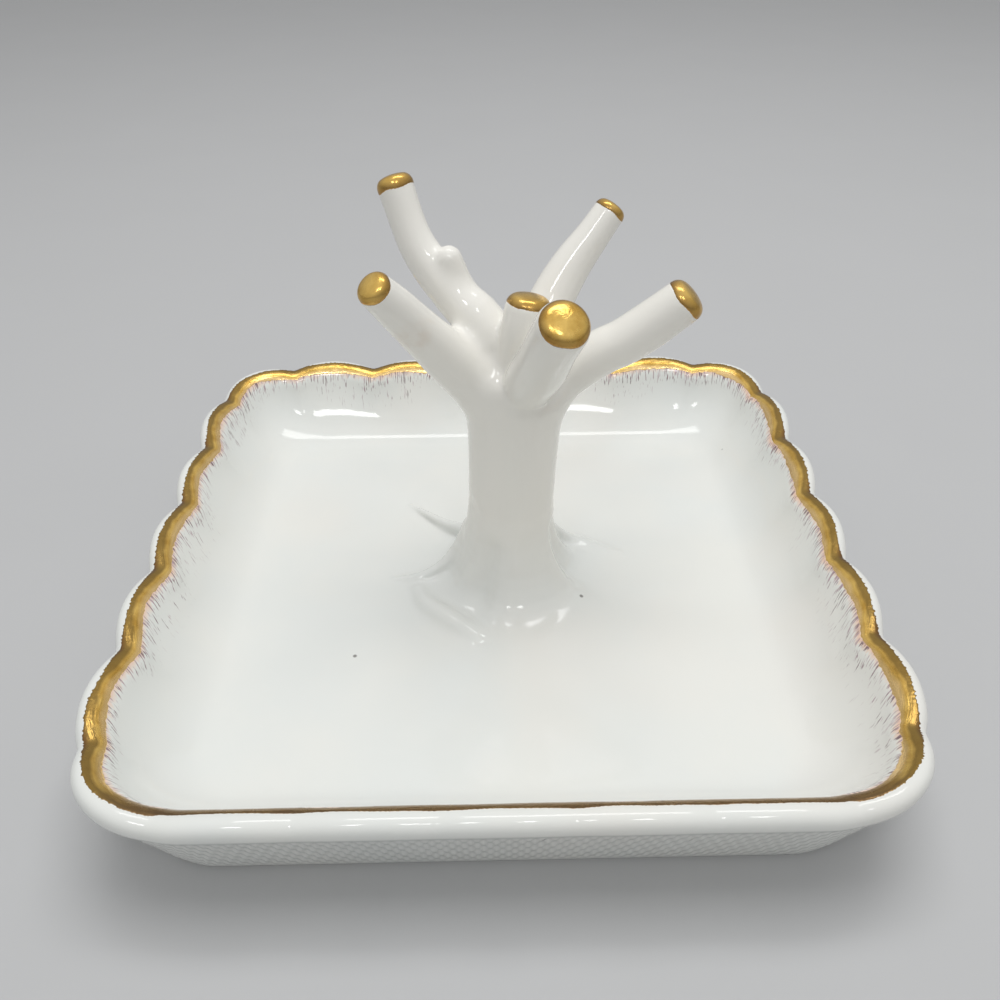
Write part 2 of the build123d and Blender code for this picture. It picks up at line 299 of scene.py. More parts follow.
section = wall_section()
section_run = np.append(0, np.cumsum(np.hypot(*np.diff(section, axis=0).T)))
crest_run = section_run[np.argmax(section[:, 1])]
print(f"section: {len(section)} points, {section_run[-1]:.1f} mm long, {section[:, 1].max():.2f} mm high")

# %% [markdown]
# ## The grain on the outside
#
# Below the lip the mould was cut with slanting rows of small grains, as on a woven basket. Glaze
# has half filled them, so they only show as rows of glints. Two waves, one along the rim and one
# up the wall, make a field of raised and sunken places in which each row is offset from the next.

# %% Raise the grain
GRAIN_PITCH = 1.5
GRAIN_ROW = 1.8
GRAIN_DEPTH = 0.13
GRAIN_TOP = 13.4
GRAIN_BOTTOM = 1.4

grain_count = round(rim_length / GRAIN_PITCH)


def grain_relief(stations, section):
    """How far the outer wall stands out at section places (rows) and rim places (columns)."""
    outside = np.arange(len(section)) < np.argmax(section[:, 1])
    height = section[:, 1]
    band = np.clip(height - GRAIN_BOTTOM, 0, 1) * np.clip(GRAIN_TOP - height, 0, 1) * outside
    along = np.cos(2 * pi * grain_count * stations["distance"] / rim_length)
    upward = np.cos(pi * height / GRAIN_ROW)
    return GRAIN_DEPTH * band[:, None] * upward[:, None] * along[None]


print(f"grain: {grain_count} grains in a row round the tray")

# %% [markdown]
# ## The tray
#
# The section is carried round the rim. A lobe's swell fades out down the wall, because the mould
# is deepest at the lip, so the floor ends up a plain rounded square. Its corners are rounder than
# the rim's, because a tool can't reach into a tight corner. A plain sweep of the section along a
# curve could do neither, so each place's inset and height are turned into points by a function.

# %% From the section to the wall
CORNER_EASE = 4.5
INSIDE_FADE_POWER = 1.4
OUTSIDE_FADE_POWER = 2


def lobe_fade(inset, height):
    """How much of a lobe's swell is left at a place of the section, outside and inside the crest."""
    outside = (np.clip(height, 0, None) / TRAY_HEIGHT) ** OUTSIDE_FADE_POWER
    above_floor = np.clip((height - FLOOR_HEIGHT) / (TRAY_HEIGHT - FLOOR_HEIGHT), 0, None)
    return np.where(inset > LIP_CREST_INSET, above_floor ** INSIDE_FADE_POWER, outside)


def eased(share):
    """A share between 0 and 1 that starts and ends softly."""
    return share * share * (3 - 2 * share)


def corner_ease(inset):
    """How much wider the inner wall's corners are than plain offsets of the rim would be."""
    share = np.clip((inset - LIP_WIDTH) / (WALL_FOOT_INSET + FLOOR_RUN - LIP_WIDTH), 0, 1)
    return CORNER_EASE * eased(share)


def wall_points(stations, inset, height, inside=True):
    """Points of the wall at insets and heights, which are rows, or grids over the rim's places."""
    inset, height = (v if np.ndim(v) == 2 else np.asarray(v)[:, None] for v in (inset, height))
    fade = lobe_fade(inset, height) * stations["swell"]
    ease = corner_ease(inset) * inside
    out = CORNER_RADIUS + ease + stations["reach"] * fade - inset
    plan = stations["anchor"] * (1 - ease / straight_half)[..., None] + stations["outward"] * out[..., None]
    lift = height + stations["rise"] * fade
    return np.concatenate([plan, lift[..., None]], axis=-1)


# %% [markdown]
# From the wall's end the rings shrink towards the middle, on the floor and on the underside alike,
# and the mesh closes in one point above and one below. It is one closed skin, as the fired body
# is. Each point also keeps its brush coordinates: where on the rim a brush hair that reaches it
# started, and how far down it ran. The paint follows them later, however the wall bends.

# %% Close the skin and keep the brush's way
HAIR_SLANT = 0.42
HAIR_REACH = 9.0
LEVEL_SHARE = 0.8


def shrinking_rings(ring, shares):
    """Copies of a ring drawn in towards the middle, with the lobes' rise fading out."""
    rings = []
    level = ring[:, 2].min()
    for share in shares:
        drawn = ring * [share, share, 1]
        left = max(0, (share - LEVEL_SHARE) / (1 - LEVEL_SHARE)) ** 2
        drawn[:, 2] = level + (ring[:, 2] - level) * left
        rings.append(drawn)
    return np.array(rings)


def closed_skin(name, rings, brush):
    """Rings from a point below to a point above, skinned and closed."""
    rows, columns = rings.shape[:2]
    points = np.concatenate([rings.reshape(-1, 3), [rings[0].mean(0), rings[-1].mean(0)]])
    faces = ring_faces(rows, columns)
    low, high = rows * columns, rows * columns + 1
    top = (rows - 1) * columns
    for column in range(columns):
        beside = (column + 1) % columns
        faces.append((low, beside, column))
        faces.append((high, top + column, top + beside))
    brush = np.concatenate([brush.reshape(-1, 3), np.zeros((2, 3)) + brush[0, 0]])
    return new_piece(name, points, faces, brush)


def brush_coordinates(stations, run, slant=0.0):
    """Where a brush hair lands: the rim place it starts from, and how far it runs down the wall."""
    crest = wall_points(stations, [LIP_CREST_INSET], [TRAY_HEIGHT])[0]
    lean = slant * stations["outward"][:, 0]
    rows = []
    for down in np.asarray(run):
        start = stations["distance"] + lean * np.clip(down, 0, HAIR_REACH)
        row = [np.interp(start, stations["distance"], crest[:, i], period=rim_length) for i in (0, 1)]
        rows.append(np.stack([*row, np.full(len(start), down)], axis=-1))
    return np.array(rows)


# %% [markdown]
# Now the tray can be made: underside, foot ring, wall and floor are rows of rings, listed from the
# middle of the underside to the middle of the floor.

# %% Skin the tray
RIM_STEP = 0.3
FLOOR_RINGS = 22
UNDERSIDE_RINGS = 10
MIDDLE_SHARE = 0.03
FOOT_WIDTH_SHARES = (1.6, 1.2, 1.05, 1.0, 0.85, 0.6)
FOOT_DEPTH_SHARES = (1.0, 0.97, 0.8, 0.2, 0.0, 0.0)
NO_BRUSH = -60.0

stations = rim_stations(int(rim_length / RIM_STEP))
wall_rings = wall_points(stations, section[:, 0], section[:, 1])
wall_rings[..., :2] += stations["outward"] * grain_relief(stations, section)[..., None]
foot_insets = BASE_INSET + FOOT_RING_WIDTH * np.array(FOOT_WIDTH_SHARES)
foot_heights = FOOT_RING_DEPTH * np.array(FOOT_DEPTH_SHARES)
foot_rings = wall_points(stations, foot_insets, foot_heights, inside=False)
inward = np.linspace(1, MIDDLE_SHARE, FLOOR_RINGS + 1)[1:]
floor_rings = shrinking_rings(wall_rings[-1], inward)
under_rings = shrinking_rings(foot_rings[0], np.linspace(MIDDLE_SHARE, 1, UNDERSIDE_RINGS + 1)[:-1])
rings = np.concatenate([under_rings, foot_rings, wall_rings, floor_rings])
run = np.concatenate([
    np.full(len(under_rings) + len(foot_rings), NO_BRUSH),
    section_run - crest_run,
    np.full(len(floor_rings), section_run[-1] - crest_run),
])
tray = closed_skin("tray_glazed", rings, brush_coordinates(stations, run, HAIR_SLANT))
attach(tray, "root")
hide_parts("tray")
print(f"tray: {len(tray.data.polygons)} faces")

# %% [markdown]
# ## The gold on the rim
#
# Liquid gold is brushed on over the fired glaze and fired again at a low heat. The brush leaves a
# band that follows the lip, with hairs of gold at its two edges. The band could be painted in a
# material alone, but its edge catches the light like the thin skin that it is, so it is a mesh: a
# flat tube whose ragged edges are cut hair by hair. Seeded random numbers stand for the hand.

# %% The hand that holds the brush
HAND_SEED = 11
hand = np.random.default_rng(HAND_SEED)


def hairs(count, coarse, depth):
    """Brush hairs round the rim: uneven strokes, some long and most short."""
    strokes = hand.random(int(count / coarse)) ** 2 * depth
    at = np.arange(count) / count * len(strokes)
    return np.interp(at, np.arange(len(strokes) + 1), np.append(strokes, strokes[0]))


def sway(count, waves, depth):
    """A slow sideways drift of the brush round the rim."""
    angle = np.arange(count) / count * 2 * pi
    total = np.zeros(count)
    for wave in waves:
        total += hand.normal() * np.cos(wave * angle + hand.random() * 2 * pi) / len(waves) ** 0.5
    return total * depth


def evened(values, window):
    """Values round the rim with their steps smoothed over a window."""
    kernel = np.hanning(window + 2)[1:-1]
    padded = np.pad(values, window, mode="wrap")
    return np.convolve(padded, kernel / kernel.sum(), "same")[window:-window]


def surface_at(stations, run):
    """Points of the lip at distances from its crest, one row of distances for each rim place."""
    inset = np.interp(run + crest_run, section_run, section[:, 0])
    height = np.interp(run + crest_run, section_run, section[:, 1])
    return wall_points(stations, inset, height)


def lip_normals(points):
    """Outward directions of a grid of points that wraps round the rim."""
    along = np.roll(points, -1, axis=1) - np.roll(points, 1, axis=1)
    across = np.gradient(points, axis=0)
    normal = np.cross(across, along)
    normal *= np.sign(normal[..., 2:3].sum())
    return normal / np.linalg.norm(normal, axis=-1, keepdims=True)


# %% [markdown]
# The hand goes straighter than the lobes do, so the band lies further out beside each notch. On
# the front it was drawn in behind the lip's crest, with a calmer stroke. Across the band the points
# crowd towards its two edges, where the gold thins out and dips under the glaze.

# %% Skin the gold band
GOLD_STEP = 0.1
GOLD_OUTER_RUN = 0.4
GOLD_INNER_RUN = 2.55
GOLD_STRAIGHTNESS = 0.8
GOLD_NOTCH_POWER = 1.5
GOLD_INNER_SHARE = 0.6
GOLD_FRONT_DRAW = 0.78
GOLD_FRONT_CALM = 0.7
GOLD_FRONT_POWER = 4
GOLD_EASE = 3.0
GOLD_RELIEF = 0.05
GOLD_BURIED = 0.05
GOLD_EDGE_BURIED = 0.02
GOLD_ROWS = 15
ROWS_PER_LOWER_ROW = 3
# Steps in a stroke of the brush, and its greatest depth in millimetres
OUTER_HAIRS = (2, 0.3)
INNER_HAIRS = (3, 0.12)
INNER_LONG_HAIRS = (6, 0.2)
# Waves round the rim, and how far they carry the brush aside
OUTER_SWAY = (range(9, 60, 5), 0.12)
INNER_SWAY = (range(7, 50, 6), 0.16)

gold_count = int(rim_length / GOLD_STEP)
gold_stations = rim_stations(gold_count)
shallow = gold_stations["reach"] / LOBE_REACH
beside_notch = GOLD_STRAIGHTNESS * (1 - gold_stations["swell"]) ** GOLD_NOTCH_POWER * shallow
beside_notch = evened(beside_notch, int(GOLD_EASE / GOLD_STEP))
on_front = np.clip(-gold_stations["outward"][:, 1], 0, 1) ** GOLD_FRONT_POWER
outer_edge = GOLD_OUTER_RUN + GOLD_FRONT_DRAW * on_front - beside_notch
outer_edge = outer_edge - hairs(gold_count, *OUTER_HAIRS) * (1 - GOLD_FRONT_CALM * on_front)
outer_edge = outer_edge + sway(gold_count, *OUTER_SWAY)
inner_edge = GOLD_INNER_RUN - GOLD_INNER_SHARE * beside_notch + sway(gold_count, *INNER_SWAY)
inner_edge = inner_edge + hairs(gold_count, *INNER_HAIRS) + hairs(gold_count, *INNER_LONG_HAIRS)

share = (1 - np.cos(np.linspace(0, pi, GOLD_ROWS))) / 2
over = outer_edge + (inner_edge - outer_edge) * share[:, None]
on_lip = surface_at(gold_stations, over)
normal = lip_normals(on_lip)
relief = GOLD_RELIEF * np.sqrt(np.clip(4 * share * (1 - share), 0, 1))
relief -= GOLD_EDGE_BURIED * (share * (1 - share) == 0)
upper = on_lip + normal * relief[:, None, None]
lower = (on_lip - normal * GOLD_BURIED)[::-ROWS_PER_LOWER_ROW]
brush_rows = np.concatenate([over, over[::-ROWS_PER_LOWER_ROW]])
gold_brush = brush_coordinates(gold_stations, np.zeros(len(brush_rows)))
gold_brush[..., 2] = brush_rows
gold_rings = np.concatenate([upper, lower])
rim_gold = new_piece(
    "rim_gilding_brushed", gold_rings.reshape(-1, 3), ring_faces(*gold_rings.shape[:2], closed=True),
    gold_brush.reshape(-1, 3))
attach(rim_gold, "root")
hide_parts("rim_gilding")
band_width = (inner_edge - outer_edge).mean()
print(f"rim gold: {len(rim_gold.data.polygons)} faces, band about {band_width:.1f} mm wide")

# %% [markdown]
# ## The tree as a field of distances
#
# The potter rolls the branches, luts them to the trunk with slip and smooths every join with a
# wet brush, so the tree has no seams. Separate tubes would show hard lines where they meet. So
# the tree is written as a field: a number for any place in space, below zero inside the clay.
# Two forms are joined by taking the smaller of their numbers, and by rounding that choice where
# they are nearly alike, the join gets its fillet. Each join has its own width, as by hand.

# %% Field helpers
FAR_FROM_LIMB = 5.0


def smooth_least(a, b, width):
    """The smaller of two fields, with the join rounded over a width."""
    near = np.clip(width - np.abs(a - b), 0, None) / width
    return np.minimum(a, b) - near * near * width / 4


def flowing_least(a, b, width):
    """The smaller of two fields, joined even more gently, as a glaze pools along a foot."""
    near = np.clip(width - np.abs(a - b), 0, None) / width
    return np.minimum(a, b) - near ** 4 * width / 8


def smooth_most(a, b, width):
    """The larger of two fields, with the edge rounded over a width."""
    return -smooth_least(-a, -b, width)


def smooth_course(points, count):
    """A soft line through given places; the last column is a radius."""
    points = np.asarray(points, float)
    padded = np.concatenate([[2 * points[0] - points[1]], points, [2 * points[-1] - points[-2]]])
    at = np.linspace(0, len(points) - 1, count)
    first = np.minimum(at.astype(int), len(points) - 2)
    t = (at - first)[:, None]
    p0, p1, p2, p3 = (padded[first + i] for i in range(4))
    return 0.5 * (
        2 * p1 + (p2 - p0) * t + (2 * p0 - 5 * p1 + 4 * p2 - p3) * t ** 2
        + (3 * p1 - p0 - 3 * p2 + p3) * t ** 3)


def limb_field(places, course):
    """Distance to a limb: a line with a radius that changes along it."""
    field = np.full(len(places), FAR_FROM_LIMB)
    low = (course[:, :3] - course[:, 3:]).min(0) - FAR_FROM_LIMB
    high = (course[:, :3] + course[:, 3:]).max(0) + FAR_FROM_LIMB
    close = np.all((places > low) & (places < high), axis=1)
    spots = places[close]
    nearest = np.full(len(spots), FAR_FROM_LIMB)
    for start, end in zip(course[:-1], course[1:]):
        axis = end[:3] - start[:3]
        share = np.clip((spots - start[:3]) @ axis / (axis @ axis), 0, 1)
        gap = spots - start[:3] - share[:, None] * axis
        distance = np.sqrt(np.einsum("ij,ij->i", gap, gap))
        nearest = np.minimum(nearest, distance - start[3] - share * (end[3] - start[3]))
    field[close] = nearest
    return field


# %% [markdown]
# ## Trunk, roots and branches
#
# The trunk flares into a broad foot that is pinched into toes. The foot's outline is a short list of
# headings, each with how far the clay reaches there.

# %% Sizes of the trunk
TRUNK_RISE = 40.2
NECK_RADIUS = 6.6
FLARE_RISE = 15.0

# Heading in degrees from +X, and reach of the foot there as a share of the neck's radius
FLARE_SHARES = (
    (11, 2.05), (36, 1.75), (68, 1.95), (98, 1.75), (119, 1.80), (149, 1.75), (164, 1.75),
    (184, 1.80), (198, 1.85), (216, 2.00), (240, 2.05), (258, 2.42), (284, 2.42), (308, 2.50),
    (323, 2.55), (346, 1.85),
)
# Height as a share of the flare's rise, and what is left of the reach there
FLARE_FADE_SHARES = (
    (-0.1, 1.10), (0.0, 0.96), (0.04, 0.78), (0.09, 0.62), (0.16, 0.49), (0.27, 0.35), (0.38, 0.24),
    (0.50, 0.16), (0.65, 0.09), (0.8, 0.04), (1.0, 0.0),
)
# Height as a share of the trunk's rise, and radius as a share of the neck's
TRUNK_SHARES = (
    (0.0, 1.0), (0.37, 1.0), (0.54, 1.01), (0.66, 1.03), (0.75, 1.07), (0.83, 1.14), (0.90, 1.16),
    (1.2, 1.16),
)
# Place of the foot's middle, and how far the trunk's top leans from there, as shares of the neck
FOOT_SHARES = (0.27, 0.33)
LEAN_SHARES = (0.14, 0.12)
print(f"trunk: {TRUNK_RISE} mm high, {2 * NECK_RADIUS} mm across at its neck")

# %% [markdown]
# Each branch leaves the crown at its own place and ends in a gently domed cut. A branch is a soft
# line through a few places, with a width at each. The places lie where the CAD model has them, and
# are given as shares of the tree's spread and rise.

# %% Sizes of the branches
TREE_SPREAD = 25.0
TREE_RISE = 60.0

# For each branch its tip's diameter, the width of its join, and its places:
# x, y and height as shares, and width as a share of the tip's diameter
BRANCHES = {
    "right": (6.1, 2.4, (
        (0.230, 0.110, -0.379, 1.22), (0.392, 0.100, -0.186, 1.12), (0.580, 0.068, 0.010, 1.06),
        (0.696, 0.052, 0.096, 1.06), (0.828, 0.040, 0.224, 1.06), (0.996, 0.024, 0.412, 1.0))),
    "back_right": (4.5, 2.0, (
        (0.140, 0.140, -0.273, 1.52), (0.226, 0.200, 0.067, 1.46), (0.322, 0.320, 0.279, 1.40),
        (0.424, 0.400, 0.470, 1.26), (0.540, 0.460, 0.650, 1.08), (0.632, 0.513, 0.796, 1.0))),
    "back_left": (5.1, 1.6, (
        (0.080, 0.150, -0.303, 1.50), (-0.004, 0.140, 0.030, 1.42), (-0.100, 0.192, 0.206, 1.34),
        (-0.200, 0.250, 0.315, 1.22), (-0.333, 0.330, 0.491, 1.13), (-0.419, 0.385, 0.636, 1.02),
        (-0.474, 0.436, 0.794, 0.96), (-0.529, 0.499, 1.006, 0.98))),
    "left": (4.5, 2.2, (
        (0.060, 0.090, -0.409, 1.86), (-0.096, 0.080, -0.227, 1.86), (-0.260, 0.000, 0.036, 1.62),
        (-0.388, -0.080, 0.268, 1.37), (-0.520, -0.168, 0.520, 1.20), (-0.600, -0.226, 0.670, 1.04))),
    "middle": (6.3, 0.8, (
        (0.110, 0.090, -0.333, 1.36), (0.134, 0.046, 0.000, 1.14), (0.154, 0.020, 0.233, 1.03),
        (0.172, 0.034, 0.375, 1.0))),
    "front": (6.6, 0.4, (
        (0.172, -0.088, -0.132, 1.06), (0.200, -0.182, 0.010, 1.10), (0.232, -0.280, 0.158, 1.09),
        (0.268, -0.440, 0.405, 1.02), (0.310, -0.548, 0.603, 1.02))),
}
STUB = (4.6, 0.8, (
    (-0.185, 0.265, 0.303, 1.0), (-0.228, 0.285, 0.480, 0.92), (-0.250, 0.293, 0.590, 0.80)))
print("branches:", ", ".join(f"{name} {diameter} mm" for name, (diameter, _, _) in BRANCHES.items()))

# %% [markdown]
# Four thin roots were drawn out over the floor with a fingertip, and a ledge of clay was left in
# front of the foot. They fade into the floor, so their last places lie just below its glaze.

# %% Sizes of the roots, and soft lines through the places
# x, y, height above the floor and radius
ROOTS = {
    "left": (
        (-4.4, 4.4, 7.6, 1.3), (-6.6, 3.3, 4.0, 1.0), (-9.4, 1.5, 1.7, 0.75), (-13.2, 0.1, 0.55, 0.5),
        (-17.2, 0.3, -0.1, 0.15)),
    "back_left": (
        (-3.0, 8.0, 3.0, 1.2), (-8.7, 12.9, 1.1, 0.8), (-12.6, 16.7, 0.55, 0.55),
        (-15.4, 19.8, -0.05, 0.15)),
    "right": (
        (8.4, 7.6, 4.4, 1.3), (11.2, 8.7, 1.4, 1.0), (14.4, 8.6, 0.0, 0.7), (17.4, 6.9, -0.25, 0.5),
        (20.2, 5.8, -0.4, 0.3)),
    "back": ((3.5, 8.0, 4.0, 1.8), (5.8, 12.6, 1.2, 1.2), (7.4, 16.2, 0.1, 0.8), (8.4, 18.6, -0.3, 0.2)),
    "ledge": (
        (-13.1, -2.6, -0.2, 0.8), (-11.4, -6.1, 0.1, 1.3), (-9.0, -8.5, 0.2, 1.5), (-6.0, -11.0, 0.1, 1.4),
        (-3.6, -12.7, -0.3, 1.0)),
}
STEPS_PER_LIMB = 24


def branch_course(diameter, shares):
    """A branch's middle line and radius in millimetres."""
    top = FLOOR_HEIGHT + TRUNK_RISE
    above = TREE_RISE - TRUNK_RISE
    rows = [
        (x * TREE_SPREAD, y * TREE_SPREAD, top + z * above, width * diameter / 2)
        for x, y, z, width in shares]
    return smooth_course(rows, STEPS_PER_LIMB)


def root_course(rows):
    """A root's middle line and radius, from the trunk out over the floor."""
    rows = np.array(rows)
    rows[:, 2] += FLOOR_HEIGHT
    return smooth_course(rows, STEPS_PER_LIMB // 2)


branch_courses = {
    name: branch_course(diameter, shares) for name, (diameter, _, shares) in BRANCHES.items()}
stub_course = branch_course(STUB[0], STUB[2])
root_courses = {name: root_course(rows) for name, rows in ROOTS.items()}
print(f"courses: {len(branch_courses)} branches, a stub and {len(root_courses)} roots")

# %% [markdown]
# The trunk's own field is the distance from its leaning middle line, less the radius at that
# height and heading. Fingers left two long hollows and a ridge in its front, so the radius dips
# and swells there.

# %% The trunk's field
# Heading in degrees, width in degrees, depth in mm, and the heights between which it shows
HOLLOWS = (
    (247, 11, 1.1, -1.0, 9.0),
    (250, 13, 0.55, 14.0, 34.0),
    (287, 10, -0.35, 14.0, 36.0),
    (345, 14, 0.9, 0.0, 9.0),
    (206, 12, 0.5, 2.0, 14.0),
)
HOLLOW_END = 4.0
TRUNK_TOP_ROUNDING = 7.0


def flare_reach(heading):
    """How far the foot reaches at headings in radians, blended between the named toes."""
    headings = np.radians([h for h, _ in FLARE_SHARES])
    reach = np.array([r for _, r in FLARE_SHARES]) * NECK_RADIUS
    headings = np.append(headings, headings[0] + 2 * pi)
    reach = np.append(reach, reach[0])
    turned = (heading - headings[0]) % (2 * pi) + headings[0]
    index = np.clip(np.searchsorted(headings, turned, side="right") - 1, 0, len(headings) - 2)
    share = (turned - headings[index]) / (headings[index + 1] - headings[index])
    return reach[index] + (reach[index + 1] - reach[index]) * eased(share)


def soft_window(height, low, high):
    """One between two heights, falling softly to zero beyond them."""
    rise = np.clip((height - low + HOLLOW_END) / HOLLOW_END, 0, 1)
    fall = np.clip((high + HOLLOW_END - height) / HOLLOW_END, 0, 1)
    return eased(rise * fall)


def trunk_field(places):
    """Distance to the trunk with its flaring foot."""
    height = places[:, 2] - FLOOR_HEIGHT
    lean = eased(np.clip(height / TRUNK_RISE, 0, 1))
    x = places[:, 0] - NECK_RADIUS * (FOOT_SHARES[0] + LEAN_SHARES[0] * lean)
    y = places[:, 1] - NECK_RADIUS * (FOOT_SHARES[1] + LEAN_SHARES[1] * lean)
    heading = np.arctan2(y, x)
    heights, radii = np.array(TRUNK_SHARES).T
    stem = NECK_RADIUS * np.interp(height / TRUNK_RISE, heights, radii)
    heights, left = np.array(FLARE_FADE_SHARES).T
    fade = np.interp(height / FLARE_RISE, heights, left)
    steep = np.interp(height / FLARE_RISE, heights, np.gradient(left, heights))
    foot = flare_reach(heading) - NECK_RADIUS
    radius = stem + foot * fade
    for direction, width, depth, low, high in HOLLOWS:
        off = (np.degrees(heading) - direction + 180) % 360 - 180
        radius = radius - depth * np.exp(-0.5 * (off / width) ** 2) * soft_window(height, low, high)
    slope = foot * steep / FLARE_RISE
    side = (np.hypot(x, y) - radius) / np.sqrt(1 + slope ** 2)
    return smooth_most(side, height - TRUNK_RISE, TRUNK_TOP_ROUNDING)


# %% [markdown]
# The whole tree is the trunk with its roots and branches joined one after another, and at the
# foot it is joined to the floor with a small fillet. The skin ends just under the floor's glaze,
# so tree and tray look like one fired piece.

# %% The whole tree's field
# The domed cut, in shares of the branch's radius: the dome's radius, how far its centre lies
# below the end, and the width of its rounded edge. The skirt is in millimetres.
TIP_CROWN_SHARE = 2.4
TIP_CENTRE_SHARE = 1.908
TIP_EDGE_WIDTH_SHARE = 0.42
TIP_SKIRT = 0.3
# The fillet on the floor is wide up to one distance from the trunk, and narrow from the other on
TRUNK_FILLET = 4.5
ROOT_FILLET = 1.6
TRUNK_NEAR = 1.0
TRUNK_FAR = 5.0
ROOT_BLEND = 1.4
# The skin goes on under the floor's glaze: how far out, how deep, and how far below the glaze
PATCH_MARGIN = 4.7
PATCH_DEPTH = 0.7
SUNK = 0.0005


def tip_frame(name):
    """A branch end's place, direction and radius."""
    course = branch_courses[name]
    direction = course[-1, :3] - course[-3, :3]
    return course[-1, :3], direction / np.linalg.norm(direction), BRANCHES[name][0] / 2


def branch_field(places, name):
    """Distance to a branch whose end is cut to a gently domed face."""
    end, direction, radius = tip_frame(name)
    longer = np.append(end + direction * 2 * radius, radius)
    course = np.concatenate([branch_courses[name], [longer]])
    stem = limb_field(places, course)
    crown = TIP_CROWN_SHARE * radius
    centre = end + direction * (TIP_SKIRT - TIP_CENTRE_SHARE * radius)
    away = places - centre
    dome = np.where(away @ direction > 0, np.linalg.norm(away, axis=1), 0) - crown
    return smooth_most(stem, dome, TIP_EDGE_WIDTH_SHARE * radius)


def tree_field(places):
    """Distance to the tree, below zero inside it."""
    field = trunk_field(places)
    close = np.clip((TRUNK_FAR - field) / (TRUNK_FAR - TRUNK_NEAR), 0, 1)
    fillet = ROOT_FILLET + (TRUNK_FILLET - ROOT_FILLET) * eased(close)
    for course in root_courses.values():
        field = smooth_least(field, limb_field(places, course), ROOT_BLEND)
    for name, (_, blend, _) in BRANCHES.items():
        field = smooth_least(field, branch_field(places, name), blend)
    field = smooth_least(field, limb_field(places, stub_course), STUB[1])
    above_floor = places[:, 2] - FLOOR_HEIGHT
    joined = flowing_least(field, above_floor + SUNK, fillet)
    near = np.maximum(joined, field - PATCH_MARGIN)
    return np.maximum(near, -above_floor - PATCH_DEPTH)


# %% [markdown]
# ## From the field to a mesh
#
# Blender's voxel remesh would also turn overlapping tubes into one skin, but it leaves a grain of
# small steps that a glossy glaze shows. Here a coarse grid finds the cells that the surface
# passes through, one point is set in each, and every point then slides along the field's slope
# until it lies on the surface. Between slides the points even out their spacing.

# %% Slide points on to a field's surface
CELL = 0.5
SLOPE_STEP = 0.02
LEAST_SLOPE = 0.05


def field_slope(field, places):
    """The direction in which a field grows fastest, and how fast."""
    offsets = np.eye(3) * SLOPE_STEP
    slopes = [field(places + offset) - field(places - offset) for offset in offsets]
    return np.stack(slopes, axis=-1) / (2 * SLOPE_STEP)


def slide_to_surface(field, places, level=0.0, rounds=3):
    """Moves places along the slope until the field has the wanted level there."""
    for _ in range(rounds):
        slope = field_slope(field, places)
        length = np.clip((slope ** 2).sum(axis=1), LEAST_SLOPE, None)
        move = (field(places) - level) / length
        shift = np.clip(move[:, None] * slope, -CELL, CELL)
        places = places - shift
    return places


# %% [markdown]
# The grid is coarse first: only blocks that the surface may cross are looked at closely. A cell is
# mixed when some of its eight corners lie in the clay and some don't, and each mixed cell gets one
# point. Every grid edge that crosses the surface gets a four-sided face of the cells round it.

# %% Net a field's surface
BLOCK = 4


def net_faces(inside, index):
    """Four-sided faces round every grid edge that crosses the surface."""
    faces = []
    for axis in range(3):
        one, two = [a for a in range(3) if a != axis]
        low = np.moveaxis(inside, (axis, one, two), (0, 1, 2))
        cells = np.moveaxis(index, (axis, one, two), (0, 1, 2))
        crossing = low[:-1, 1:-1, 1:-1] != low[1:, 1:-1, 1:-1]
        i, j, k = np.nonzero(crossing)
        around = ((j, k), (j + 1, k), (j + 1, k + 1), (j, k + 1))
        quads = np.stack([cells[i, row, column] for row, column in around], axis=-1)
        flip = low[:-1, 1:-1, 1:-1][i, j, k] ^ (axis == 1)
        quads[~flip] = quads[~flip][:, ::-1]
        faces.append(quads)
    return np.concatenate(faces)


def net_surface(field, low, high, cell):
    """Points and faces of the surface where a field is zero."""
    blocks = np.ceil((np.array(high) - low) / (cell * BLOCK)).astype(int)
    corners = np.stack(np.meshgrid(*map(np.arange, blocks), indexing="ij"), axis=-1)
    middles = np.array(low) + (corners + 0.5) * cell * BLOCK - 0.5 * cell
    coarse = field(middles.reshape(-1, 3)).reshape(blocks)
    values = coarse.repeat(BLOCK, 0).repeat(BLOCK, 1).repeat(BLOCK, 2)
    near = np.abs(values) < BLOCK * cell
    values[near] = field(np.array(low) + np.argwhere(near) * cell)
    inside = values < 0
    shape = tuple(n - 1 for n in inside.shape)
    count = np.zeros(shape, int)
    for i, j, k in np.ndindex(2, 2, 2):
        count += inside[i:i + shape[0], j:j + shape[1], k:k + shape[2]]
    mixed = (count > 0) & (count < 8)
    index = np.full(shape, -1)
    index[mixed] = np.arange(mixed.sum())
    points = np.array(low) + (np.argwhere(mixed) + 0.5) * cell
    return points, net_faces(inside, index)


# %% [markdown]
# The net's points start in the middles of their cells. A few rounds of drawing each point towards
# its neighbours and sliding it back on to the surface leave smooth, even faces. The room that is
# searched follows from the limbs themselves, so it grows with the tree.

# %% Skin the tree
RELAX_ROUNDS = 5
GRID_MARGIN = 1.5
FOOT_ROOM_SHARE = 2.6


def relaxed(points, faces, field, rounds):
    """Evens out the spacing of the points while they stay on the surface."""
    pairs = np.concatenate([faces[:, [i, (i + 1) % 4]] for i in range(4)])
    pairs = np.concatenate([pairs, pairs[:, ::-1]])
    count = np.bincount(pairs[:, 0], minlength=len(points))[:, None]
    for _ in range(rounds):
        points = slide_to_surface(field, points, rounds=1)
        sums = [np.bincount(pairs[:, 0], points[pairs[:, 1], i], len(points)) for i in range(3)]
        points = 0.5 * points + 0.5 * np.stack(sums, axis=-1) / count
    return slide_to_surface(field, points)


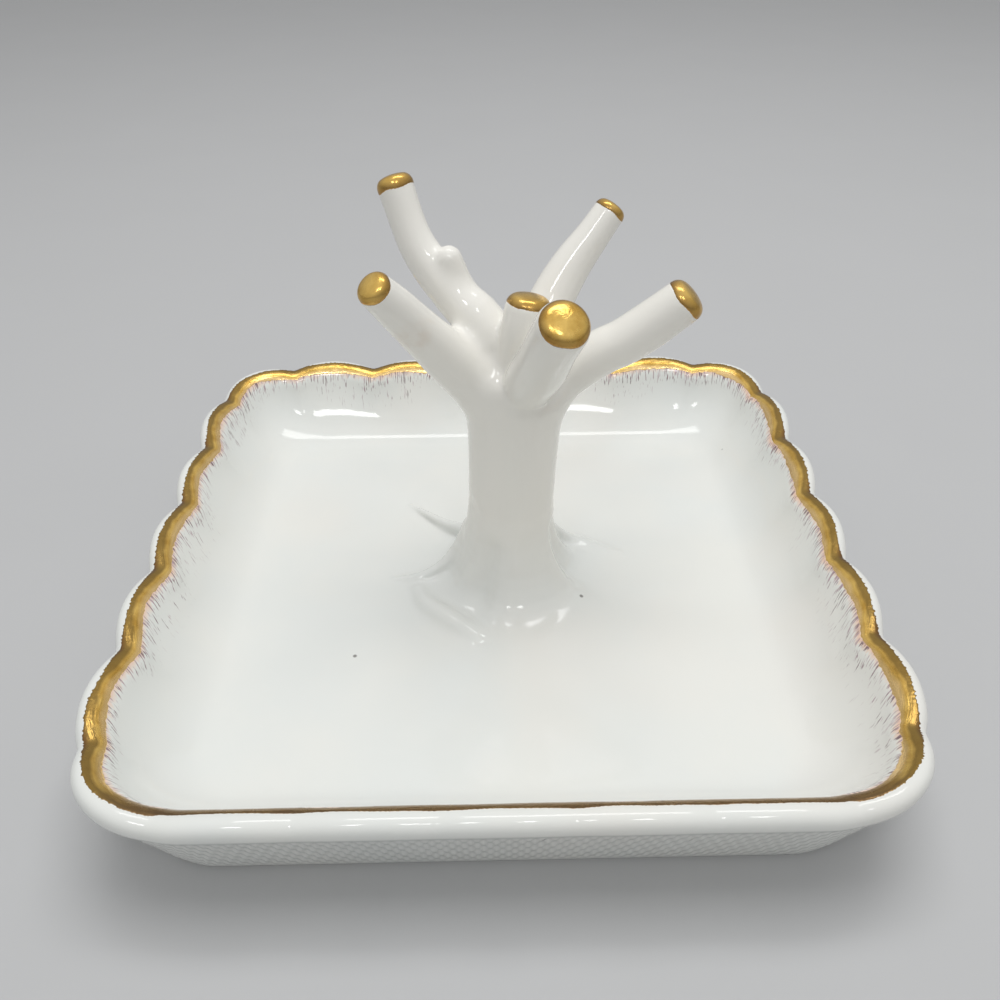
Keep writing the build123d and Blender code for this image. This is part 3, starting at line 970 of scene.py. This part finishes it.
limbs = np.concatenate([*branch_courses.values(), *root_courses.values(), stub_course])
room = limbs[:, 3:] + GRID_MARGIN + PATCH_MARGIN
grid_low = (limbs[:, :3] - room).min(0)
grid_low[1] = min(grid_low[1], -FOOT_ROOM_SHARE * NECK_RADIUS)
grid_low[2] = FLOOR_HEIGHT - 2 * PATCH_DEPTH
grid_high = (limbs[:, :3] + room).max(0)
tree_points, tree_faces = net_surface(tree_field, grid_low, grid_high, CELL)
tree_points = relaxed(tree_points, tree_faces, tree_field, RELAX_ROUNDS)
tree = new_piece("tree_glazed", tree_points, tree_faces.tolist())
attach(tree, "root")
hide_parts("trunk", "twig_stub", *[f"branch_{name}" for name in BRANCHES])
print(f"tree: {len(tree_faces)} faces, top at {tree_points[:, 2].max():.1f} mm")

# %% [markdown]
# ## The gilded tips
#
# Each tip was dipped a little way into the gold or capped with one turn of the brush, so the
# border is a wavy line round the branch's end. A cap is a polar net of points laid on the same
# field, lifted by a hair's breadth, with its border tucked into the glaze. Its wavy border is a sum
# of a few waves round the tip, each turned by chance.

# %% Skin the gilded tips
TIP_TURNS = 96
TIP_ROWS = 22
TIP_LOWER_ROWS = 7
TIP_RELIEF = 0.06
TIP_EDGE_BURIED = 0.02
TIP_BURIED = 0.1
TIP_MIDDLE_SHARE = 0.02
# The net starts on a ball, a little flattened, before it slides on to the branch
TIP_REACH_SHARE = 0.95
TIP_FLATNESS_SHARE = 0.9
TIP_SLIDES = 4
TIP_COVER_SHARES = {
    "front": 0.93, "middle": 0.96, "right": 1.02, "left": 1.08, "back_left": 1.14, "back_right": 1.05,
}
# Waves round the border, and their height as a share of the cover
BORDER_WAVES = (1, 2, 3, 5)
BORDER_WAVE_SHARE = 0.07


def tip_cap(name):
    """The gold over one branch's end: rings from the tip's middle out, and back below the glaze."""
    end, direction, radius = tip_frame(name)
    side = np.cross(direction, [0, 0, 1.0])
    side /= np.linalg.norm(side)
    third = np.cross(direction, side)
    turn = np.arange(TIP_TURNS) / TIP_TURNS * 2 * pi
    wave = sum(np.cos(k * turn + hand.random() * 2 * pi) / k ** 0.5 for k in BORDER_WAVES) / 2
    cover = TIP_COVER_SHARES[name] * (1 + BORDER_WAVE_SHARE * wave)
    around = np.cos(turn)[:, None] * side + np.sin(turn)[:, None] * third
    outward = np.linspace(TIP_MIDDLE_SHARE, 1, TIP_ROWS)
    inward = np.linspace(1, TIP_MIDDLE_SHARE, TIP_LOWER_ROWS)

    def ring(share, level):
        """Points round the tip at a share of the cover, slid to a level of the branch's field."""
        angle = (share * cover * pi / 2 * TIP_REACH_SHARE)[:, None]
        bend = np.minimum(angle, pi / 2)
        start = end + radius * (np.cos(bend) * direction * TIP_FLATNESS_SHARE + np.sin(bend) * around)
        start = start - direction * radius * np.clip(angle - pi / 2, 0, None)
        return slide_to_surface(lambda places: branch_field(places, name), start, level, TIP_SLIDES)

    lifts = TIP_RELIEF * np.sqrt(1 - outward ** 6) - TIP_EDGE_BURIED * (outward == 1)
    rings = [ring(share, lift) for share, lift in zip(outward, lifts)]
    rings = np.array(rings + [ring(share, -TIP_BURIED) for share in inward])
    shares = np.concatenate([outward, inward])
    brush = np.concatenate([
        np.broadcast_to(around[None] * radius, rings.shape)[..., :2],
        np.broadcast_to(shares[:, None, None], (*rings.shape[:2], 1)),
    ], axis=-1)
    piece = closed_skin(f"tip_gilding_{name}_brushed", rings, brush)
    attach(piece, "root")
    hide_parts(f"tip_gilding_{name}")
    return piece


tip_golds = [tip_cap(name) for name in BRANCHES]
print("tips:", ", ".join(piece.name for piece in tip_golds))

# %% [markdown]
# ## Finishes: graphs of nodes
#
# A finish is a small graph of nodes. The same few steps repeat in every one, so a class keeps them
# short: it adds a node and feeds its sockets, each with a plain value or with another node's
# output. Everything follows the surface's own coordinates, so it stays put from every side.

# %% A graph of nodes
class Graph:
    """A graph of nodes, with short ways to add nodes and to feed their sockets."""

    def __init__(self, tree):
        self.tree = tree
        tree.nodes.clear()

    def feed(self, socket, value):
        """Joins another node's output to a socket, or sets the socket's own value."""
        if isinstance(value, bpy.types.NodeSocket):
            self.tree.links.new(value, socket)
        else:
            socket.default_value = (*value, 1.0) if socket.type == "RGBA" else value

    def node(self, kind, *inputs, **named):
        """A node of a kind. Its first inputs come in order, settings and other inputs by name."""
        node = self.tree.nodes.new("ShaderNode" + kind)
        for key, value in named.items():
            if hasattr(node, key):
                setattr(node, key, value)
            else:
                self.feed(node.inputs[key], value)
        for socket, value in zip(node.inputs, inputs):
            self.feed(socket, value)
        return node

    def noise(self, vector, waves, detail=2.0):
        """A grey noise with so many waves to a unit of the given coordinates."""
        return self.node("TexNoise", Vector=vector, Scale=waves, Detail=detail).outputs["Fac"]

    def ramp(self, value, low, high, to_low=0.0, to_high=1.0):
        """A value taken from one range to another, held at its ends."""
        return self.node("MapRange", value, low, high, to_low, to_high, clamp=True).outputs["Result"]

    def maths(self, operation, one, two):
        """One sum of two values."""
        return self.node("Math", one, two, operation=operation).outputs[0]

    def product(self, one, two):
        """Two values multiplied."""
        return self.maths("MULTIPLY", one, two)

    def blend(self, share, one, two):
        """One colour turning into another by a share."""
        node = self.node("Mix", share, data_type="RGBA")
        colours = [socket for socket in node.inputs if socket.type == "RGBA"]
        for socket, colour in zip(colours, (one, two)):
            self.feed(socket, colour)
        return next(socket for socket in node.outputs if socket.type == "RGBA")


# %% [markdown]
# A finish adds a material with its shader to such a graph. Soft patches of noise do most of the
# painting, and a bump made of a slow and a fine waver does the rest.

# %% A finish with its shader
class Finish(Graph):
    """A material's graph, with its shader and the surface's coordinates in metres."""

    def __init__(self, name):
        self.material = bpy.data.materials.new(name)
        self.material.use_nodes = True
        super().__init__(self.material.node_tree)
        self.shader = self.node("BsdfPrincipled")
        self.node("OutputMaterial", self.shader.outputs["BSDF"])
        self.where = self.node("TexCoord").outputs["Object"]

    def patches(self, waves, detail, low, high, to_low=0.0, to_high=1.0):
        """Soft patches: a noise's range from low to high, taken to another range."""
        return self.ramp(self.noise(self.where, waves, detail), low, high, to_low, to_high)

    def bumped(self, slow, fine_waves, fine_share, strength, depth):
        """The normals of a surface that wavers slowly, with a share of a fine waver on top."""
        fine = self.product(self.noise(self.where, fine_waves), fine_share)
        height = self.maths("ADD", slow, fine)
        return self.node("Bump", Strength=strength, Distance=depth * MM, Height=height).outputs["Normal"]

    def surface(self, **values):
        """Feeds the shader's own sockets by name."""
        for key, value in values.items():
            self.feed(self.shader.inputs[key.replace("_", " ")], value)


# %% [markdown]
# ## The white glaze
#
# Fired porcelain glaze is a thin layer of glass over a white body. It is a cool white with warmer
# patches and a few dark specks of iron, and its surface wavers by hundredths of a millimetre, so
# reflections swim. Light that enters the body comes out right beside, so plain diffuse white
# stands for it, and tree and tray then meet without a seam. The specks are the middles of a few
# cells in a cell pattern.

# %% The white glaze
GLAZE_WHITE = (0.80, 0.805, 0.765)
GLAZE_COOL = (0.765, 0.785, 0.76)
GLAZE_WARM = (0.80, 0.78, 0.73)
GLAZE_IOR = 1.52
# Waves per metre, detail, the range of the noise that is used, and what it is taken to
DRIFT_PATCHES = (45, 3, 0.35, 0.68)
WARM_PATCHES = (28, 2, 0.56, 0.75, 0.0, 0.7)
GLAZE_ROUGHNESS = (160, 3, 0.3, 0.7, 0.05, 0.11)
# Waves per metre of the slow waver, then waves and share of the fine one, and the bump's
# strength and depth in millimetres
GLAZE_SLOW_WAVES = 110
GLAZE_WAVER = (700, 0.06, 0.12, 0.6)
SPECK = (0.10, 0.085, 0.075)
SPECK_CELLS = 230.0
SPECK_RADII = (0.05, 0.09)
SPECK_CHANCES = (0.985, 0.988)
SPECK_STRENGTH = 0.75


def specked(finish, tone):
    """The tone with a few dark specks of iron."""
    cells = finish.node("TexVoronoi", Vector=finish.where, Scale=SPECK_CELLS).outputs
    near = finish.ramp(cells["Distance"], *SPECK_RADII, 1.0, 0.0)
    chance = finish.node("SeparateColor", cells["Color"]).outputs["Red"]
    speck = finish.product(near, finish.ramp(chance, *SPECK_CHANCES))
    return finish.blend(finish.product(speck, SPECK_STRENGTH), tone, SPECK)


def glaze(name):
    """The white glaze's finish, and its tone with a drift and specks."""
    finish = Finish(name)
    tone = finish.blend(finish.patches(*DRIFT_PATCHES), GLAZE_COOL, GLAZE_WHITE)
    tone = finish.blend(finish.patches(*WARM_PATCHES), tone, GLAZE_WARM)
    waver = finish.noise(finish.where, GLAZE_SLOW_WAVES)
    finish.surface(
        IOR=GLAZE_IOR, Roughness=finish.patches(*GLAZE_ROUGHNESS),
        Normal=finish.bumped(waver, *GLAZE_WAVER))
    return finish, specked(finish, tone)


# %% [markdown]
# ## The tree's glaze
#
# Up the tree the glaze ran thin over the clay and is warmer and paler, and under the left branch
# sits a faint brown patch of painted shade. Both are laid over the white glaze by place: the first
# by height, the second by the distance from its middle, broken up by a noise so that it gets no
# drawn edge.

# %% Make the tree's glaze
GLAZE_TREE = (0.86, 0.84, 0.785)
GLAZE_TREE_SHARE = 0.85
GLAZE_TREE_START = 1.0
PAINTED_SHADE = (0.72, 0.62, 0.52)
PAINTED_SHADE_PLACE = (-11.0, -4.7, 53.2)
PAINTED_SHADE_REACH = 3.0
PAINTED_SHADE_PATCHES = (600, 3, 0.35, 0.65, 0.2, 0.9)


def tree_glaze():
    """The white glaze, warmer up the tree, with painted shade under the left branch."""
    finish, tone = glaze("porcelain_glaze_tree")
    height = finish.node("SeparateXYZ", finish.where).outputs["Z"]
    low, high = ((FLOOR_HEIGHT + above) * MM for above in (GLAZE_TREE_START, FLARE_RISE))
    tone = finish.blend(finish.ramp(height, low, high, 0.0, GLAZE_TREE_SHARE), tone, GLAZE_TREE)
    # Painted shade: a faint brown patch under the left branch, strongest at its middle.
    middle = Vector(PAINTED_SHADE_PLACE) * MM
    away = finish.node("VectorMath", finish.where, middle, operation="DISTANCE").outputs["Value"]
    near = finish.ramp(away, 0.0, PAINTED_SHADE_REACH * MM, 1.0, 0.0)
    tone = finish.blend(finish.product(near, finish.patches(*PAINTED_SHADE_PATCHES)), tone, PAINTED_SHADE)
    finish.surface(Base_Color=tone)
    return finish.material


tree.data.materials.append(tree_glaze())
print("tree glaze:", len(tree.active_material.node_tree.nodes), "nodes")

# %% [markdown]
# ## Gold's traces in the glaze
#
# Beside the band the gold thinned out and burned away, and left a pink and orange halo. Further
# down the wall single hairs of the brush left fine purple-brown dashes. They lie in the glaze and
# have no thickness, so they belong in the tray's finish. The brush coordinates kept on the mesh
# say how far down the wall a place is, and noise stretched along them draws the hairs.

# %% Noise along the brush
def brush_of(finish):
    """The brush coordinates kept on the mesh, whole and as three numbers."""
    brush = finish.node("Attribute", attribute_name="brush").outputs["Vector"]
    return brush, finish.node("SeparateXYZ", brush).outputs


def hair_noise(finish, brush, across, down, detail=1.0):
    """Noise with so many waves to a millimetre across the brush's hairs and along them."""
    scaled = finish.node("VectorMath", brush, (across, across, down), operation="MULTIPLY")
    return finish.noise(scaled.outputs[0], 1.0, detail)


# %% [markdown]
# The halo starts under the gold's edge and ends on a ragged line. The strands are the peaks of the
# stretched noise, closer together beside the gold, and some stretches of the rim have long ones
# where others have short ones.

# %% Make the tray's glaze
# Places are millimetres down the wall from the lip's crest, and waves are per millimetre, across
# the hairs and along them. Levels are the range of a noise that is used.
HALO = (0.82, 0.50, 0.33)
HALO_STARTS = (1.7, 2.2)
HALO_FULL = 2.3
HALO_REACHES = (2.9, 3.7)
HALO_EDGE_WAVES = (2.4, 0.15)
HALO_EDGE_LEVELS = (0.3, 0.7)
HALO_STRENGTH = 0.75
HAIR = (0.20, 0.13, 0.14)
HAIR_FAINT = (0.46, 0.34, 0.37)
HAIR_WAVES = (4.2, 0.55, 2.0)
HAIR_LEVELS = (0.61, 0.68)
HAIR_DEPTH_WAVES = (1.1, 0.5)
HAIR_DEPTH_LEVELS = (0.4, 0.62)
HAIR_STARTS = (1.9, 2.4)
HAIR_FULL = 2.6
HAIR_FADE = (0.0, 0.5)
HAIR_REACHES = (3.6, 9.0)
HAIR_REACH_WAVES = (0.045, 1)
HAIR_REACH_LEVELS = (0.35, 0.65)
# Where the hairs are closest and where loosest, and what that adds to their noise
HAIR_CLOSENESS = (2.4, 5.5, 0.10, -0.02)


def tray_glaze():
    """The white glaze with the halo and the hairs beside the gold."""
    finish, tone = glaze("porcelain_glaze_tray")
    brush, split = brush_of(finish)
    down = split["Z"]
    edge = hair_noise(finish, brush, *HALO_EDGE_WAVES)
    ragged = finish.ramp(edge, *HALO_EDGE_LEVELS, *HALO_REACHES)
    halo = finish.ramp(down, HALO_FULL, ragged, 1.0, 0.0)
    halo = finish.product(halo, finish.ramp(down, *HALO_STARTS))
    tone = finish.blend(finish.product(halo, HALO_STRENGTH), tone, HALO)
    closeness = finish.ramp(down, *HAIR_CLOSENESS)
    strands = finish.maths("ADD", hair_noise(finish, brush, *HAIR_WAVES), closeness)
    strands = finish.ramp(strands, *HAIR_LEVELS)
    reach = finish.ramp(finish.noise(brush, *HAIR_REACH_WAVES), *HAIR_REACH_LEVELS, *HAIR_REACHES)
    within = finish.ramp(down, HAIR_FULL, reach, 1.0, 0.0)
    strands = finish.product(strands, finish.ramp(within, *HAIR_FADE))
    strands = finish.product(strands, finish.ramp(down, *HAIR_STARTS))
    depth = finish.ramp(hair_noise(finish, brush, *HAIR_DEPTH_WAVES), *HAIR_DEPTH_LEVELS)
    finish.surface(Base_Color=finish.blend(strands, tone, finish.blend(depth, HAIR_FAINT, HAIR)))
    return finish.material


tray.data.materials.append(tray_glaze())
print("tray glaze:", len(tray.active_material.node_tree.nodes), "nodes")

# %% [markdown]
# ## The fired gold
#
# Burnished fired gold is a true metal, a film far thinner than the mesh that stands for it, with
# On the rim its colour also holds painted reflections: dark olive along its outer side, pale along
# its inner side, and dark brown along the front. Hair-like bumps break its reflections along the
# brush.

# %% Make the gold
GOLD_BRIGHT = (0.84, 0.56, 0.16)
GOLD_DEEP = (0.58, 0.34, 0.07)
GOLD_PAINTED_OUTER_REFLECTION = (0.27, 0.17, 0.05)
GOLD_PAINTED_INNER_REFLECTION = (0.97, 0.70, 0.36)
GOLD_PAINTED_FRONT_REFLECTION = (0.21, 0.13, 0.07)
GOLD_BORDER = (0.24, 0.12, 0.05)
GOLD_BORDER_STRENGTH = 0.8
GOLD_PATCHES = (420, 3, 0.35, 0.7)
GOLD_ROUGHNESS = (900, 3, 0.3, 0.7, 0.16, 0.3)
GOLD_WANDER = (260, 2, 0.3, 0.7, -0.25, 0.25)
GOLD_HAIR_WAVES = (0.6, 4.0, 2.0)
GOLD_WAVER = (1500, 0.35, 0.25, 0.2)
# Where a colour starts and where it is full: millimetres across the band, and for the painted
# front reflection the rim's own y, towards the front
PAINTED_OUTER_REFLECTION_RANGE = (1.45, 1.05)
PAINTED_INNER_REFLECTION_RANGE = (1.7, 2.3)
PAINTED_FRONT_REFLECTION_RANGE = (-47.5, -50.5)
RIM_BORDERS = ((2.7, 3.3), (0.45, -0.2))
TIP_BORDERS = ((0.62, 1.05),)


def fired_gold(name, borders, painted_outer_reflection=0.0, painted_inner_reflection=0.0, painted_front_reflection=0.0):
    """Brushed fired gold that darkens towards its borders along the brush's third coordinate."""
    finish = Finish(name)
    brush, split = brush_of(finish)
    tone = finish.blend(finish.patches(*GOLD_PATCHES), GOLD_BRIGHT, GOLD_DEEP)
    wander = finish.maths("ADD", split["Z"], finish.patches(*GOLD_WANDER))
    # Painted reflections: dark olive on the rim's outer side, pale on its inner side, dark brown on the
    # front.
    for place, limits, strength, colour in (
        (wander, PAINTED_OUTER_REFLECTION_RANGE, painted_outer_reflection, GOLD_PAINTED_OUTER_REFLECTION),
        (wander, PAINTED_INNER_REFLECTION_RANGE, painted_inner_reflection, GOLD_PAINTED_INNER_REFLECTION),
        (split["Y"], PAINTED_FRONT_REFLECTION_RANGE, painted_front_reflection, GOLD_PAINTED_FRONT_REFLECTION),
    ):
        tone = finish.blend(finish.ramp(place, *limits, 0.0, strength), tone, colour)
    dark = 0.0
    for limits in borders:
        dark = finish.maths("MAXIMUM", dark, finish.ramp(split["Z"], *limits))
    tone = finish.blend(finish.product(dark, GOLD_BORDER_STRENGTH), tone, GOLD_BORDER)
    hair = hair_noise(finish, brush, *GOLD_HAIR_WAVES)
    finish.surface(
        Base_Color=tone, Metallic=1.0,
        Roughness=finish.patches(*GOLD_ROUGHNESS), Normal=finish.bumped(hair, *GOLD_WAVER))
    return finish.material


# Only the rim's gold gets the painted reflections.
rim_finish = fired_gold("fired_gold_rim", RIM_BORDERS, painted_outer_reflection=0.85, painted_inner_reflection=0.75, painted_front_reflection=0.85)
rim_gold.data.materials.append(rim_finish)
tip_finish = fired_gold("fired_gold_tips", TIP_BORDERS)
for piece in tip_golds:
    piece.data.materials.append(tip_finish)
print(f"gold: on the rim and on {len(tip_golds)} tips")

# %% [markdown]
# ## Floor and air
#
# The dish stands on a plain pale floor. Its paleness comes from the floor's and the world's own
# colours and not from strong lamps: the world shows its pale colour to the camera and to
# mirror-like surfaces, dimmer towards the horizon, and lights the dish more gently.

# %% Lay the floor and set the air
FLOOR_COLOUR = (0.52, 0.525, 0.53)
FLOOR_DARK_SHARE = 0.97
FLOOR_WAVES = 30
FLOOR_ROUGHNESS = 0.7
FLOOR_SPAN = 3.0
FLOOR_CELLS = 8
WORLD_COLOUR = (0.86, 0.865, 0.87)
WHITE = (1, 1, 1)
HORIZON_SHARE = 0.4
WORLD_LIGHT = 0.44


def pale_floor():
    """A wide plain floor under the dish, with the faint unevenness of painted board."""
    half = FLOOR_SPAN / 2 / MM
    places = np.linspace(-half, half, FLOOR_CELLS + 1)
    points = [(x, y, 0.0) for y in places for x in places]
    across = FLOOR_CELLS + 1
    corners = [row * across + column for row in range(FLOOR_CELLS) for column in range(FLOOR_CELLS)]
    faces = [(c, c + 1, c + across + 1, c + across) for c in corners]
    piece = new_piece("floor", points, faces)
    finish = Finish("pale_board")
    dark = [FLOOR_DARK_SHARE * part for part in FLOOR_COLOUR]
    tone = finish.blend(finish.noise(finish.where, FLOOR_WAVES, 3), dark, FLOOR_COLOUR)
    finish.surface(Base_Color=tone, Roughness=FLOOR_ROUGHNESS)
    piece.data.materials.append(finish.material)


def pale_world():
    """A world that looks pale and lights gently."""
    world = bpy.data.worlds.new("air")
    bpy.context.scene.world = world
    world.use_nodes = True
    graph = Graph(world.node_tree)
    upward = graph.node("SeparateXYZ", graph.node("TexCoord").outputs["Generated"]).outputs["Z"]
    seen = graph.node("Background", WORLD_COLOUR, graph.ramp(upward, 0.0, 1.0, HORIZON_SHARE, 1.0))
    light = graph.node("Background", WHITE, WORLD_LIGHT)
    path = graph.node("LightPath").outputs
    shown = graph.maths("MAXIMUM", path["Is Camera Ray"], path["Is Glossy Ray"])
    shown = graph.maths("MAXIMUM", shown, path["Is Transmission Ray"])
    choice = graph.node("MixShader", shown, light.outputs[0], seen.outputs[0])
    graph.node("OutputWorld", choice.outputs[0])


pale_floor()
pale_world()
print(f"floor: {FLOOR_SPAN} m wide")

# %% [markdown]
# ## Lamps
#
# Most of the light comes from a large soft lamp overhead. A mirror-like glaze would show it as a
# wide white patch over the tray's floor, so it is hidden from reflections. A strip further back is
# seen instead, as the thin bright line on the back wall and the shine on the caps. Two small lamps
# in front add the small glints on the trunk's foot.

# %% Hang the lamps
# Place and size in millimetres, power in watts, and the place that the lamp is turned to
LAMPS = {
    "overhead": ((40, 10, 600), (460, 300), 1.35, (40, 0, 0)),
    "strip": ((60, 160, 590), (420, 120), 0.68, (60, 0, 0)),
    "ring_left": ((-110, -260, 420), (60, 60), 0.12, (0, 0, 20)),
    "ring_right": ((70, -270, 420), (60, 60), 0.12, (0, 0, 20)),
}


def soft_light(name, place, size, watts, target):
    """A rectangular soft light, turned towards a place of the dish."""
    data = bpy.data.lights.new(name, "AREA")
    data.shape = "RECTANGLE"
    data.size, data.size_y = (side * MM for side in size)
    data.energy = watts
    lamp = bpy.data.objects.new(name, data)
    bpy.context.collection.objects.link(lamp)
    lamp.location = Vector(place) * MM
    aim = (Vector(target) - Vector(place)).to_track_quat("-Z", "Y")
    lamp.rotation_euler = aim.to_euler()
    lamp.visible_glossy = name != "overhead"


for name, values in LAMPS.items():
    soft_light(name, *values)
bpy.context.scene.view_settings.view_transform = "Standard"
print("lamps:", ", ".join(LAMPS))
